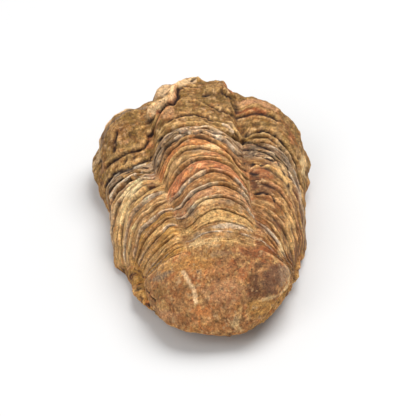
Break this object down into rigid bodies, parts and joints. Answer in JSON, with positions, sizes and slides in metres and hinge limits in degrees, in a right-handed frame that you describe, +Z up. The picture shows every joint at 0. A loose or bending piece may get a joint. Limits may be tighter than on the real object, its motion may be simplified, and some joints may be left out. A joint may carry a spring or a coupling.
{
  "type": "trilobite fossil",
  "caption": "Calymenid trilobite fossil lying belly down: arched ringed back, domed tail shield, lobed head, one solid stone filled with brown rock.",
  "frame": {"origin": "middle of the flat patch of rock under the belly that the fossil rests on", "axes": "+Y from the tail to the head, +Z up through the back, +X to the fossil's right when it is seen from behind its tail"},
  "size_m": [0.0449, 0.0675, 0.0256],
  "materials": {
    "stone": "rough"
  },
  "bodies": {
    "root": {"trilobite": "stone"}
  },
  "joints": []
}
